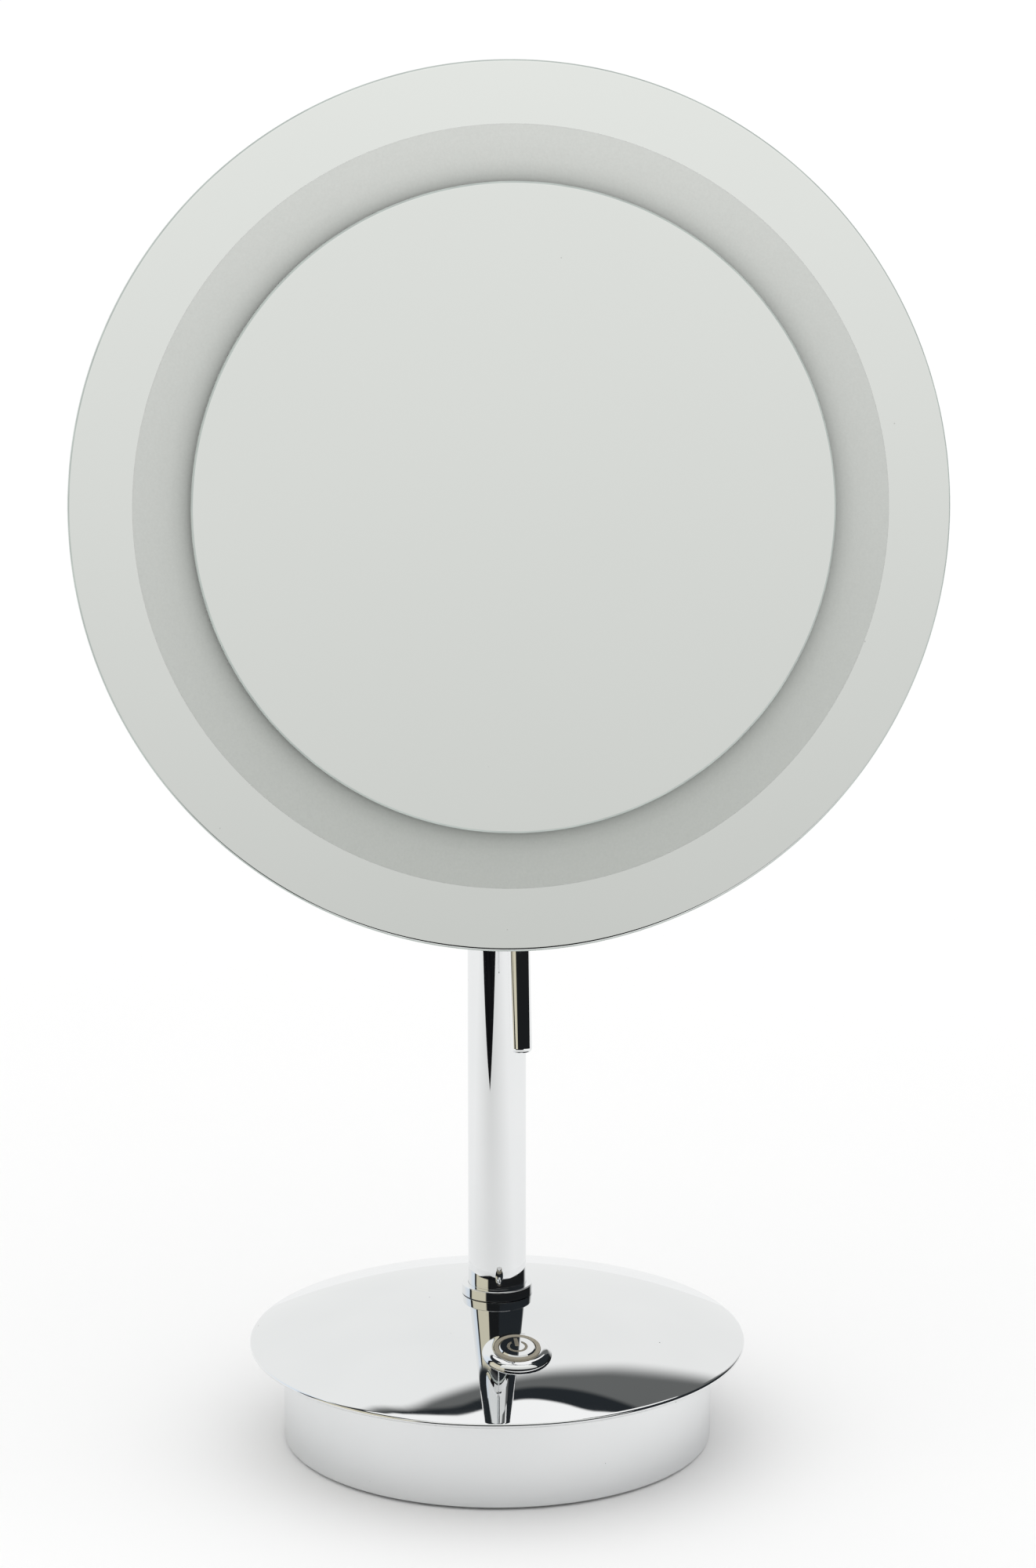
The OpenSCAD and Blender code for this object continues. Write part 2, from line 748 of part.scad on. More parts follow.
// Chromed back shell of the head.
module rear_housing() {
    corner = 1.5;
    color("silver") at_head() difference() {
        lathe(concat(
            [[0, back_z], [back_r, back_z]],
            arc([shell_r - 4, shell_edge + 2], [4, 4], -80, 0, 8),
            [[shell_r, frame_z + 0.1], [shell_r - shell_t, frame_z + 0.1],
                [shell_r - shell_t, shell_edge + corner], [back_r - 0.4, inner_back],
                [0, inner_back]]
        ));
        rim_screw_places() cylinder(r = 1, h = 20);
        handle_place() cylinder(r = 1.6, h = 20, center = true);
        for (a = [30, 150, 270]) rotate([0, 0, a]) translate([screw_out, 0, back_z - 0.01]) {
            cylinder(r1 = 2.7, r2 = 1.3, h = 1.4);
            cylinder(r = 1.3, h = 4);
        }
        for (s = [-1, 1]) translate([s * lug_screw_out, 0, back_z - 1]) cylinder(r = 1.6, h = 4);
    }
}

module back_screws() {
    color("gray") at_head() for (a = [30, 150, 270]) rotate([0, 0, a])
        translate([screw_out, 0, back_z + 0.05]) flat_screw(2.5, 1.2, 9);
}

module rim_screws() {
    color("gray") at_head() rim_screw_places() translate([0, 0, 3]) cylinder(r = 1, h = 3.05);
}

// Lug on the back of the head: a round flange and the tongue that tilts in the fork.
module hinge_lug() {
    reach = face_reach - head_depth;
    color("silver") at_head() translate([0, 0, back_z]) difference() {
        union() {
            translate([0, 0, -lug_t]) lathe([
                [0, 0], [lug_r - 0.6, 0], [lug_r, 0.6], [lug_r, lug_t], [0, lug_t]
            ]);
            translate([-tongue_w / 2, -tongue_r, -reach])
                cube([tongue_w, 2 * tongue_r, reach - 1]);
            translate([-tongue_w / 2, 0, -reach]) rotate([0, 90, 0])
                cylinder(r = tongue_r, h = tongue_w);
        }
        translate([-5, 0, -reach]) rotate([0, 90, 0]) cylinder(r = pin_r + run_gap, h = 10);
        for (s = [-1, 1]) translate([s * lug_screw_out, 0, -lug_t + 0.6])
            cylinder(r = 1.5, h = lug_t);
    }
}

module lug_screws() {
    color("gray") at_head() for (s = [-1, 1]) translate([s * lug_screw_out, 0, back_z]) {
        translate([0, 0, -lug_t + 0.7]) cylinder(r = 1.5, h = lug_t - 0.6 + shell_t);
        translate([0, 0, shell_t]) cylinder(r = 2.8, h = 2);
    }
}

// Pin under the head that tilts it without a finger on the glass.
module adjusting_handle() {
    long = handle_reach - shell_r;
    color("silver") at_head() handle_place() {
        lathe(concat(
            [[0, 0.05], [handle_r - 0.3, 0.05], [handle_r, 0.35], [handle_r, long - 1.1]],
            arc([handle_r - 1.1, long - 1.1], [1.1, 1.1], 10, 90, 6), [[0, long]]
        ));
        translate([0, 0, -6.5]) cylinder(r = 1.5, h = 6.7);
    }
}

module handle_nut() {
    color("gray") at_head() handle_place() translate([0, 0, -5.4]) difference() {
        cylinder(r = 3, h = 2.3, $fn = 6);
        translate([0, 0, -1]) cylinder(r = 1.5, h = 5);
    }
}

// Lead from the hinge to the LED board.
module head_wiring() {
    low = inner_back + 0.9;
    color("firebrick") at_head() sweep([
        [0, 4, low], [0, 20, low], [0, 45, low], [0, skirt_r - 1, low], [0, skirt_r + 5, low],
        [0, light_r - 12.2, low + 0.5], [0, light_r - 11, low + 2], [0, light_r - 11, trough_z + 1.1]
    ], 0.7, 8, [1, 0, 0]);
}

base_dome();
base_drum();
collar_washer();
stop_post();
ballast_plate();
dome_studs();
standoffs();
base_pan();
pan_screws();
rubber_feet();
battery_contacts();
battery_springs();
battery_1();
battery_2();
battery_3();
battery_4();
driver_board();
driver_components();
base_wiring();
switch_bezel();
switch_body();
switch_nut();
button_spring();
battery_door();
power_button();
power_symbol();
stem_tube();
collar();
swivel_spindle();
swivel_washer();
stop_washer();
wave_washer();
lock_nut();
stem_fork();
tilt_pin();
tilt_nut();
friction_washers();
stem_wiring();
outer_mirror_ring();
diffuser_ring();
magnifying_mirror();
mirror_tape();
mirror_carrier();
reflector_trough();
led_board();
leds();
glass_frame();
glass_gasket();
rear_housing();
back_screws();
rim_screws();
hinge_lug();
lug_screws();
adjusting_handle();
handle_nut();
head_wiring();
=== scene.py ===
import json
import math

import bmesh
import bpy
from mathutils import Matrix, Vector


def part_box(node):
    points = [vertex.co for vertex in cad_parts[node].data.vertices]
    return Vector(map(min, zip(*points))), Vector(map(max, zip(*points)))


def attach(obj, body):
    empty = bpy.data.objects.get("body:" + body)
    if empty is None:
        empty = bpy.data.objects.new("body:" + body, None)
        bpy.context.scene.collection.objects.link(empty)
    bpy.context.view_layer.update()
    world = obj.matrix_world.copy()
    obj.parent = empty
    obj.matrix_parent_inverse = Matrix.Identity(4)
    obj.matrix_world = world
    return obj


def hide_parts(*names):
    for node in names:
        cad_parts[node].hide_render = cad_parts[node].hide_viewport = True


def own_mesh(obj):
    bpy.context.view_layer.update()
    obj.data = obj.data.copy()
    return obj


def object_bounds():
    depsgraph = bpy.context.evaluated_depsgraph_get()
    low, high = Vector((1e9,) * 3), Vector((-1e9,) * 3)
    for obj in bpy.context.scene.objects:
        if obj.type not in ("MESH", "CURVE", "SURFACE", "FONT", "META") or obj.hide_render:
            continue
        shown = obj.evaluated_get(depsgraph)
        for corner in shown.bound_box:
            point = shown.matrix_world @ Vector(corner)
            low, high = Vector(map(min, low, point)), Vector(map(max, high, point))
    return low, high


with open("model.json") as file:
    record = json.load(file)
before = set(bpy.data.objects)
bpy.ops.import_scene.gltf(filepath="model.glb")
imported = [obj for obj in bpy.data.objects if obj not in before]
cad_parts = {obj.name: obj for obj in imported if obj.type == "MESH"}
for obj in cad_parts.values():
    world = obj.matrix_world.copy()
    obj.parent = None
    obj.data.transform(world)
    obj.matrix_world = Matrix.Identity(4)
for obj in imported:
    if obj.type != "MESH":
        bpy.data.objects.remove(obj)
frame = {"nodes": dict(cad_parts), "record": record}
cad_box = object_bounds()

MM = 0.001
ACROSS = Vector((1, 0, 0))
UPRIGHT = Matrix.Identity(4)

scene = bpy.context.scene
record = frame["record"]
joints = {j["name"]: j for j in record["behaviour"]["joints"]}


# ------------------------------------------------------------------ places
# Sizes of pieces are in mm, and come from the CAD nodes where they can.

def half_width(node):
    """Half of a node's size across: the radius of a round part."""
    low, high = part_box(node)
    return (high[0] - low[0]) / 2 / MM


def levels(node):
    """A node's lowest and highest z."""
    low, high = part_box(node)
    return low[2] / MM, high[2] / MM


def middle(node):
    """The middle of a node's box, in metres."""
    low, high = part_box(node)
    return (Vector(low) + Vector(high)) / 2


def axes(origin, x, y, z):
    m = Matrix((x, y, z)).transposed().to_4x4()
    m.translation = origin
    return m


face_r = half_width("outer_mirror_ring")
mag_r = half_width("magnifying_mirror")
stem_r = half_width("stem_tube")
collar_r = half_width("collar")
rim_r = half_width("base_dome")
drum_r = half_width("base_drum")
bezel_r = half_width("switch_bezel")

# The light ring and the mirror ring meet in the middle of the CAD's gap between them.
HALF_GAP = 0.1
light_r = half_width("diffuser_ring") + HALF_GAP

# The face's frame: local y goes up the face, and z = 0 is the front of the glass.
GLASS_T = 3.0
glass_middle = middle("outer_mirror_ring")
normal = glass_middle - Vector(joints["head_tilt"]["pos_m"])
normal.x = 0.0
normal.normalize()
up_face = normal.cross(ACROSS)
face_centre = glass_middle + normal * (GLASS_T / 2 * MM)
face_centre.x = 0.0
HEAD = axes(face_centre, ACROSS, up_face, normal)

# The dome is part of a sphere: its radius follows from its height and its width.
PLATE_T = 1.2
DOME_HOLE = 5.6
dome_low, dome_high = levels("base_dome")


def sphere_centre(curve):
    return dome_high - math.sqrt(curve * curve - DOME_HOLE * DOME_HOLE)


def lip_low(curve):
    """The lowest point of the dome's rounded lip."""
    rim_angle = math.asin((rim_r - PLATE_T / 2) / curve)
    return sphere_centre(curve) + (curve - PLATE_T / 2) * math.cos(rim_angle) - PLATE_T / 2


def fitted_curve(tight=70.0, flat=600.0):
    """The radius at which the lip is as low as the CAD's, by halving."""
    for _ in range(60):
        curve = (tight + flat) / 2
        if lip_low(curve) < dome_low:
            tight = curve
        else:
            flat = curve
    return curve


dome_curve = fitted_curve()
dome_centre_z = sphere_centre(dome_curve)

# The button's frame: local z = 0 is the dome's surface.
push = -Vector(joints["power_button_push"]["axis"]).normalized()
button_origin = (Vector((0, 0, dome_centre_z)) + push * dome_curve) * MM
BUTTON = axes(button_origin, ACROSS, push.cross(ACROSS), push)


# ------------------------------------------------------------------ meshes

SEGMENTS = 256


def rounded(outline, closed=True, steps=5):
    """Points (r, z) or (r, z, size): a corner with a size gets a small round of that size."""
    hold = 0.5
    out = []
    n = len(outline)
    for i, point in enumerate(outline):
        p = Vector(point[:2])
        size = point[2] if len(point) > 2 else 0
        inner = closed or 0 < i < n - 1
        if not size or not inner:
            out.append((p.x, p.y))
            continue
        to_a = (Vector(outline[i - 1][:2]) - p).normalized()
        to_b = (Vector(outline[(i + 1) % n][:2]) - p).normalized()
        start = p + to_a * size
        end = p + to_b * size
        # One more point on each side keeps the smooth shading of the round off the flats.
        lead = start + to_a * size * hold
        trail = end + to_b * size * hold
        out.append((lead.x, lead.y))
        for k in range(steps + 1):
            t = k / steps
            q = start * (1 - t) ** 2 + p * 2 * t * (1 - t) + end * t ** 2
            out.append((q.x, q.y))
        out.append((trail.x, trail.y))
    return out


def arc(cr, cz, width, height, first, last, n):
    """Points on an ellipse about (cr, cz), from first to last in degrees, where 0 is outwards."""
    angles = [math.radians(first + (last - first) * i / n) for i in range(n + 1)]
    return [(cr + width * math.cos(t), cz + height * math.sin(t)) for t in angles]


def cap_arc(curve, first, last, n):
    """Points on the dome's sphere from first to last, in degrees from its top."""
    angles = [math.radians(first + (last - first) * i / n) for i in range(n + 1)]
    return [(curve * math.sin(t), dome_centre_z + curve * math.cos(t)) for t in angles]


def finish_mesh(name, bm, matrix, materials, sharp=40, face_slot=None):
    bmesh.ops.recalc_face_normals(bm, faces=bm.faces)
    mesh = bpy.data.meshes.new(name)
    for f in bm.faces:
        f.smooth = True
        if face_slot:
            f.material_index = face_slot(f.calc_center_median())
    bm.to_mesh(mesh)
    bm.free()
    mesh.transform(matrix)
    mesh.set_sharp_from_angle(angle=math.radians(sharp))
    obj = bpy.data.objects.new(name, mesh)
    scene.collection.objects.link(obj)
    for m in materials:
        mesh.materials.append(m)
    return obj


def lathe_mesh(outline, closed):
    """A bmesh turned about local z from an outline in mm. Points on the axis become poles."""
    bm = bmesh.new()
    turns = [2 * math.pi * k / SEGMENTS for k in range(SEGMENTS)]
    rings = []
    for r, z in outline:
        if abs(r) < 1e-6:
            rings.append([bm.verts.new((0, 0, z * MM))])
        else:
            rings.append([bm.verts.new((r * MM * math.cos(t), r * MM * math.sin(t), z * MM))
                          for t in turns])
    count = len(rings) if closed else len(rings) - 1
    for i in range(count):
        a, b = rings[i], rings[(i + 1) % len(rings)]
        if len(a) == 1 and len(b) == 1:
            continue
        for k in range(SEGMENTS):
            k2 = (k + 1) % SEGMENTS
            if len(a) == 1:
                bm.faces.new((a[0], b[k], b[k2]))
            elif len(b) == 1:
                bm.faces.new((a[k], b[0], a[k2]))
            else:
                bm.faces.new((a[k], b[k], b[k2], a[k2]))
    return bm


def turned(name, outline, matrix, body, node, materials, closed=True, sharp=40, face_slot=None,
           cut=None):
    """A turned piece that stands for a CAD node. The faces that cut picks are left out."""
    bm = lathe_mesh(outline, closed)
    if cut:
        gone = [f for f in bm.faces if cut(f.calc_center_median())]
        bmesh.ops.delete(bm, geom=gone, context="FACES")
    obj = finish_mesh(name, bm, matrix, materials, sharp, face_slot)
    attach(obj, body)
    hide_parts(node)
    return obj


# ------------------------------------------------------------------ materials

class Nodes:
    """Short names for the shader nodes that the materials use."""

    # The colour sockets of a Mix node, which share their names with its other sockets.
    MIX_A, MIX_B, MIX_OUT = 6, 7, 2
    SPECK_SHARE = 0.035

    def __init__(self, name):
        self.material = bpy.data.materials.new(name)
        self.material.use_nodes = True
        self.tree = self.material.node_tree
        self.tree.nodes.clear()
        self.shader = self.add("ShaderNodeBsdfPrincipled")
        self.surface = self.add("ShaderNodeOutputMaterial").inputs["Surface"]
        self.link(self.shader.outputs["BSDF"], self.surface)
        self.coords = self.add("ShaderNodeTexCoord").outputs["Object"]

    def add(self, kind):
        return self.tree.nodes.new(kind)

    def link(self, a, b):
        self.tree.links.new(a, b)

    def feed(self, socket, value):
        """Links another node's output to a socket, or sets it to a number or a colour."""
        if isinstance(value, bpy.types.NodeSocket):
            self.link(value, socket)
        elif isinstance(value, tuple):
            socket.default_value = (*value, 1)
        else:
            socket.default_value = value

    def put(self, **values):
        """Sets the shader's own sockets."""
        for key, value in values.items():
            self.shader.inputs[key.replace("_", " ")].default_value = value

    def split(self, vector):
        """The X, Y and Z outputs of a vector."""
        n = self.add("ShaderNodeSeparateXYZ")
        self.link(vector, n.inputs["Vector"])
        return n.outputs["X"], n.outputs["Y"], n.outputs["Z"]

    def local(self, place, rotation=(0, 0, 0), scale=(1, 1, 1)):
        """The object's coordinates as they are in a frame at that place."""
        m = self.add("ShaderNodeMapping")
        m.vector_type = "TEXTURE"
        m.inputs["Location"].default_value = place
        m.inputs["Rotation"].default_value = rotation
        m.inputs["Scale"].default_value = scale
        self.link(self.coords, m.inputs["Vector"])
        return m.outputs["Vector"]

    def face_position(self):
        """Distance from the middle of the face, and height along it, in metres."""
        x, y, _ = self.split(self.local(HEAD.to_translation(), HEAD.to_euler()))
        square = self.math("ADD", self.math("MULTIPLY", x, x), self.math("MULTIPLY", y, y))
        return self.math("SQRT", square), y

    def times(self, a, b):
        n = self.add("ShaderNodeMix")
        n.data_type = "RGBA"
        n.blend_type = "MULTIPLY"
        n.inputs["Factor"].default_value = 1.0
        self.link(a, n.inputs[self.MIX_A])
        self.link(b, n.inputs[self.MIX_B])
        return n.outputs[self.MIX_OUT]

    def mix(self, value, a, b):
        n = self.add("ShaderNodeMix")
        n.data_type = "RGBA"
        self.link(value, n.inputs["Factor"])
        self.feed(n.inputs[self.MIX_A], a)
        self.feed(n.inputs[self.MIX_B], b)
        return n.outputs[self.MIX_OUT]

    def noise(self, scale, detail=3.0, rough=0.5):
        n = self.add("ShaderNodeTexNoise")
        n.inputs["Scale"].default_value = scale
        n.inputs["Detail"].default_value = detail
        n.inputs["Roughness"].default_value = rough
        self.link(self.coords, n.inputs["Vector"])
        return n.outputs["Fac"]

    def cells(self, scale):
        n = self.add("ShaderNodeTexVoronoi")
        n.inputs["Scale"].default_value = scale
        self.link(self.coords, n.inputs["Vector"])
        return n

    def mapped(self, value, low, high, to_low, to_high):
        n = self.add("ShaderNodeMapRange")
        n.inputs["From Min"].default_value = low
        n.inputs["From Max"].default_value = high
        n.inputs["To Min"].default_value = to_low
        n.inputs["To Max"].default_value = to_high
        self.link(value, n.inputs["Value"])
        return n.outputs["Result"]

    def math(self, operation, a, b=None):
        n = self.add("ShaderNodeMath")
        n.operation = operation
        self.feed(n.inputs[0], a)
        if b is not None:
            self.feed(n.inputs[1], b)
        return n.outputs[0]

    def ramp(self, value, *stops):
        n = self.add("ShaderNodeValToRGB")
        e = n.color_ramp.elements
        while len(e) > 1:
            e.remove(e[-1])
        e[0].position = stops[0][0]
        e[0].color = (*stops[0][1], 1)
        for place, colour in stops[1:]:
            e.new(place).color = (*colour, 1)
        self.link(value, n.inputs["Fac"])
        return n.outputs["Color"]

    def cloudy(self, value, dark, light):
        """A colour between dark and light, from a noise or another pattern."""
        return self.ramp(value, (0.3, dark), (0.7, light))

    def colour(self, socket):
        self.link(socket, self.shader.inputs["Base Color"])

    def rough(self, socket):
        self.link(socket, self.shader.inputs["Roughness"])

    def bump(self, socket, strength, distance):
        n = self.add("ShaderNodeBump")
        n.inputs["Strength"].default_value = strength
        n.inputs["Distance"].default_value = distance
        self.link(socket, n.inputs["Height"])
        self.link(n.outputs["Normal"], self.shader.inputs["Normal"])

    def dust(self, scale, size):
        """1 on tiny specks, 0 elsewhere: a few cells in a hundred hold one."""
        v = self.cells(scale)
        speck = self.math("LESS_THAN", v.outputs["Distance"], size)
        split = self.add("ShaderNodeSeparateColor")
        self.link(v.outputs["Color"], split.inputs["Color"])
        chosen = self.math("LESS_THAN", split.outputs["Red"], self.SPECK_SHARE)
        return self.math("MULTIPLY", speck, chosen)


def grey(value):
    return (value, value, value)


def chrome():
    n = Nodes("chrome_plate")
    n.put(Metallic=1.0)
    specks = n.dust(420.0, 0.07)
    plate = n.cloudy(n.noise(28.0, 2.0), (0.85, 0.858, 0.862), (0.885, 0.89, 0.893))
    n.colour(n.mix(specks, plate, (0.45, 0.46, 0.47)))
    haze = n.mapped(n.noise(90.0, 4.0), 0.35, 0.75, 0.012, 0.04)
    n.rough(n.math("MAXIMUM", haze, n.math("MULTIPLY", specks, 0.5)))
    return n.material


def mirror_silver():
    n = Nodes("silvered_glass")
    n.put(Metallic=1.0, Coat_Weight=0.25, Coat_Roughness=0.02, Coat_IOR=1.5)
    silver = n.cloudy(n.noise(9.0, 2.0), (0.872, 0.885, 0.872), (0.885, 0.897, 0.884))
    n.colour(n.mix(n.dust(260.0, 0.05), silver, (0.7, 0.71, 0.7)))
    n.rough(n.mapped(n.noise(60.0, 3.0), 0.3, 0.8, 0.01, 0.03))
    return n.material


def glass_edge():
    n = Nodes("polished_glass_edge")
    n.put(IOR=1.5, Coat_Weight=0.4, Coat_Roughness=0.03)
    n.colour(n.cloudy(n.noise(140.0, 3.0), (0.4, 0.44, 0.42), (0.5, 0.55, 0.52)))
    n.rough(n.mapped(n.noise(300.0, 2.0), 0.3, 0.7, 0.08, 0.2))
    return n.material


def frosted():
    """Frosted glass with painted shade: darker near the raised magnifying mirror and towards the
    bottom of the face.
    """
    shade_from = (mag_r - 0.5) * MM
    shade_to = (mag_r + 9.5) * MM
    n = Nodes("frosted_glass")
    n.put(IOR=1.45, Specular_IOR_Level=0.35, Subsurface_Weight=0.15,
          Subsurface_Radius=(0.004, 0.004, 0.004), Subsurface_Scale=0.3)
    fine = n.noise(1800.0, 2.0, 0.6)
    out, along_face = n.face_position()
    grain = n.ramp(fine, (0.25, (0.625, 0.636, 0.62)), (0.75, (0.665, 0.677, 0.66)))
    # Painted shade: the ring darkens towards the raised magnifying mirror, as if the mirror shaded
    # it.
    shade = n.ramp(n.mapped(out, shade_from, shade_to, 0, 1), (0.0, grey(0.7)), (0.14, grey(0.83)),
                   (0.3, grey(0.91)), (0.55, grey(0.98)), (1.0, grey(1.0)))
    # Painted light from above: the ring darkens towards the bottom of the face.
    painted_light_fall = n.ramp(n.mapped(along_face, -light_r * MM, light_r * MM, 0, 1),
                  (0.0, (0.695, 0.71, 0.69)), (0.5, (0.845, 0.855, 0.84)),
                  (1.0, (0.965, 0.97, 0.955)))
    n.colour(n.times(n.times(grain, shade), painted_light_fall))
    n.rough(n.mapped(n.noise(500.0, 3.0), 0.3, 0.7, 0.42, 0.55))
    n.bump(fine, 0.12, 0.00005)
    return n.material


def plastic(name, dark, light, rough, grain, strength):
    n = Nodes(name)
    n.put(IOR=1.47)
    n.colour(n.cloudy(n.noise(35.0, 4.0), dark, light))
    n.rough(n.mapped(n.noise(grain / 3, 3.0), 0.3, 0.7, rough - 0.06, rough + 0.06))
    n.bump(n.noise(grain, 2.0), strength, 0.00006)
    return n.material


def metal(name, dark, light, rough, grain=220.0, strength=0.08):
    n = Nodes(name)
    n.put(Metallic=1.0)
    streak = n.noise(grain, 4.0, 0.6)
    n.colour(n.cloudy(streak, dark, light))
    n.rough(n.mapped(streak, 0.3, 0.7, rough - 0.07, rough + 0.08))
    n.bump(streak, strength, 0.00005)
    return n.material


def circuit():
    n = Nodes("green_solder_mask")
    n.put(Coat_Weight=0.3, Coat_Roughness=0.15)
    tracks = n.math("LESS_THAN", n.cells(420.0).outputs["Distance"], 0.25)
    mask = n.cloudy(n.noise(60.0, 3.0), (0.02, 0.13, 0.05), (0.03, 0.18, 0.08))
    n.colour(n.mix(tracks, mask, (0.07, 0.26, 0.12)))
    n.rough(n.mapped(n.noise(200.0), 0.3, 0.7, 0.25, 0.4))
    return n.material


def jacket():
    """Shrink sleeve with a band of another colour at both ends of each cell."""
    n = Nodes("battery_sleeve")
    n.put(Coat_Weight=0.4, Coat_Roughness=0.1)
    _, y, _ = n.split(n.coords)
    band = n.math("GREATER_THAN", n.math("ABSOLUTE", y), 0.012)
    body = n.cloudy(n.noise(50.0, 3.0), (0.035, 0.035, 0.04), (0.055, 0.055, 0.06))
    n.colour(n.mix(band, body, (0.5, 0.27, 0.1)))
    n.rough(n.mapped(n.noise(90.0), 0.3, 0.7, 0.2, 0.32))
    return n.material


CHROME = chrome()
SILVER = mirror_silver()
EDGE = glass_edge()
BACK_PAINT = plastic("mirror_back_paint", (0.03, 0.032, 0.034), (0.05, 0.052, 0.055),
                     0.45, 1400.0, 0.2)
FROST = frosted()
MATERIALS = {
    "chrome": CHROME,
    "mirror_glass": SILVER,
    "frosted_glass": FROST,
    "zinc_steel": metal("zinc_plated_steel", (0.5, 0.51, 0.53), (0.66, 0.66, 0.65), 0.3),
    "spring_steel": metal("spring_steel", (0.5, 0.5, 0.5), (0.68, 0.68, 0.67), 0.25),
    "iron": metal("cast_iron", (0.09, 0.09, 0.1), (0.2, 0.2, 0.21), 0.62, grain=700.0,
                  strength=0.5),
    "brass": metal("turned_brass", (0.6, 0.42, 0.16), (0.78, 0.6, 0.3), 0.26),
    "black_plastic": plastic("black_moulded_plastic", (0.012, 0.012, 0.013),
                             (0.022, 0.022, 0.024), 0.5, 2600.0, 0.35),
    "white_plastic": plastic("white_moulded_plastic", (0.74, 0.74, 0.72), (0.82, 0.82, 0.8),
                             0.35, 900.0, 0.1),
    "beige_plastic": plastic("beige_moulded_plastic", (0.27, 0.245, 0.19), (0.33, 0.3, 0.235),
                             0.4, 1200.0, 0.15),
    "nylon": plastic("nylon_washer", (0.68, 0.66, 0.58), (0.76, 0.74, 0.67), 0.45, 1200.0, 0.15),
    "rubber": plastic("black_rubber", (0.014, 0.014, 0.014), (0.03, 0.03, 0.03), 0.85, 1500.0,
                      0.3),
    "foam": plastic("foam_tape", (0.6, 0.59, 0.53), (0.76, 0.75, 0.7), 0.9, 1500.0, 0.8),
    "circuit_board": circuit(),
    "led_board_white": plastic("white_solder_mask", (0.74, 0.74, 0.71), (0.82, 0.82, 0.8),
                               0.3, 700.0, 0.05),
    "led_yellow": plastic("led_phosphor", (0.72, 0.58, 0.16), (0.85, 0.74, 0.3), 0.35, 3000.0,
                          0.1),
    "component_black": plastic("moulded_component", (0.015, 0.015, 0.018), (0.03, 0.03, 0.034),
                               0.4, 2000.0, 0.2),
    "wire_red": plastic("wire_insulation", (0.32, 0.02, 0.015), (0.45, 0.035, 0.03), 0.35,
                        900.0, 0.05),
    "cell_jacket": jacket(),
    "symbol": metal("etched_symbol", (0.42, 0.38, 0.3), (0.56, 0.51, 0.42), 0.4),
}

for entry in record["subparts"]:
    for s in frame["nodes"][entry["node"]].material_slots:
        s.material = MATERIALS[entry["material_slot"]]


# ------------------------------------------------------------------ camera
# A pinhole camera fitted to the photo's outlines. FOCAL is in pixels of a frame FRAME_H high.

AZIMUTH = math.radians(-7.784)
PITCH = math.radians(13.596)
YAW = math.radians(-0.253)
DISTANCE = 1.14575
EYE_Z = 0.44006
FOCAL = 6344.23
FRAME_H = 2000
SENSOR = 24.0


def add_camera():
    eye = Vector((DISTANCE * math.sin(AZIMUTH), -DISTANCE * math.cos(AZIMUTH), EYE_Z))
    heading = Vector((-math.sin(AZIMUTH + YAW), math.cos(AZIMUTH + YAW), 0))
    forward = heading * math.cos(PITCH) + Vector((0, 0, -math.sin(PITCH)))
    right = forward.cross(Vector((0, 0, 1))).normalized()
    lens = bpy.data.cameras.new("camera")
    lens.sensor_fit = "VERTICAL"
    lens.sensor_height = SENSOR
    lens.lens = FOCAL / FRAME_H * SENSOR
    lens.clip_start = 0.05
    lens.clip_end = 60.0
    camera = bpy.data.objects.new("camera", lens)
    camera.matrix_world = axes(eye, right, right.cross(forward), -forward)
    scene.collection.objects.link(camera)
    scene.camera = camera


add_camera()


# ------------------------------------------------------------------ head

def outer_mirror():
    """The flat silvered ring, with a ground edge and a painted back."""
    front_round = 0.55
    back_round = 0.35
    edge_skin = 0.42
    face_skin = 0.1
    back_skin = 0.02

    def side(c):
        """0 on the silvered face, 1 on the ground edge and in the bore, 2 on the painted back."""
        if c.z < (-GLASS_T + back_skin) * MM:
            return 2
        at_edge = math.hypot(c.x, c.y) > (face_r - edge_skin) * MM
        return 1 if at_edge or c.z < -face_skin * MM else 0

    outline = rounded([(light_r, -GLASS_T), (face_r, -GLASS_T, back_round),
                       (face_r, 0, front_round), (light_r, 0)])
    turned("outer_mirror", outline, HEAD, "head", "outer_mirror_ring", [SILVER, EDGE, BACK_PAINT],
           face_slot=side)


def light_ring():
    """The frosted ring, which goes on under the magnifying mirror."""
    seam = 0.005
    overlap = 3.6
    outer = light_r - seam
    inner = mag_r - overlap
    outline = [(inner, -GLASS_T), (outer, -GLASS_T), (outer, 0), (inner, 0)]
    turned("light_ring", outline, HEAD, "head", "diffuser_ring", [FROST])


def magnifier():
    """The concave mirror, which stands proud of the face."""
    curve = 900.0
    rise = 3.2
    thick = 2.6
    front_round = 0.45
    back_round = 0.25
    front_r = mag_r - 0.9
    back_r = mag_r - 0.6
    edge_skin = 0.5
    face_skin = 0.6
    step = 0.02
    steps = 40

    def dish(r):
        return rise - (mag_r * mag_r - r * r) / (2 * curve)

    def side(c):
        """0 on the silvered face, 1 on the edge and the back."""
        r = math.hypot(c.x, c.y)
        behind = c.z < (dish(r / MM) - face_skin) * MM
        return 1 if r > (mag_r - edge_skin) * MM or behind else 0

    front = [(front_r * i / steps, dish(front_r * i / steps)) for i in range(steps, -1, -1)]
    back = [(back_r * i / steps, dish(back_r * i / steps) - thick) for i in range(steps + 1)]
    edge = rounded([back[-1], (mag_r, back[-1][1] + step, back_round),
                    (mag_r, rise - step, front_round), front[0]], closed=False)
    turned("magnifier", back + edge[1:-1] + front, HEAD, "head", "magnifying_mirror",
           [SILVER, EDGE], face_slot=side, closed=False)


outer_mirror()
light_ring()
magnifier()


# ------------------------------------------------------------------ stem

def stem():
    """The chrome tube, with a small round at its open top."""
    wall = 1.3
    low, high = levels("stem_tube")
    bore = stem_r - wall
    outline = rounded([(bore, low), (stem_r, low), (stem_r, high, 0.12), (bore, high)])
    turned("stem", outline, UPRIGHT, "stem", "stem_tube", [CHROME])


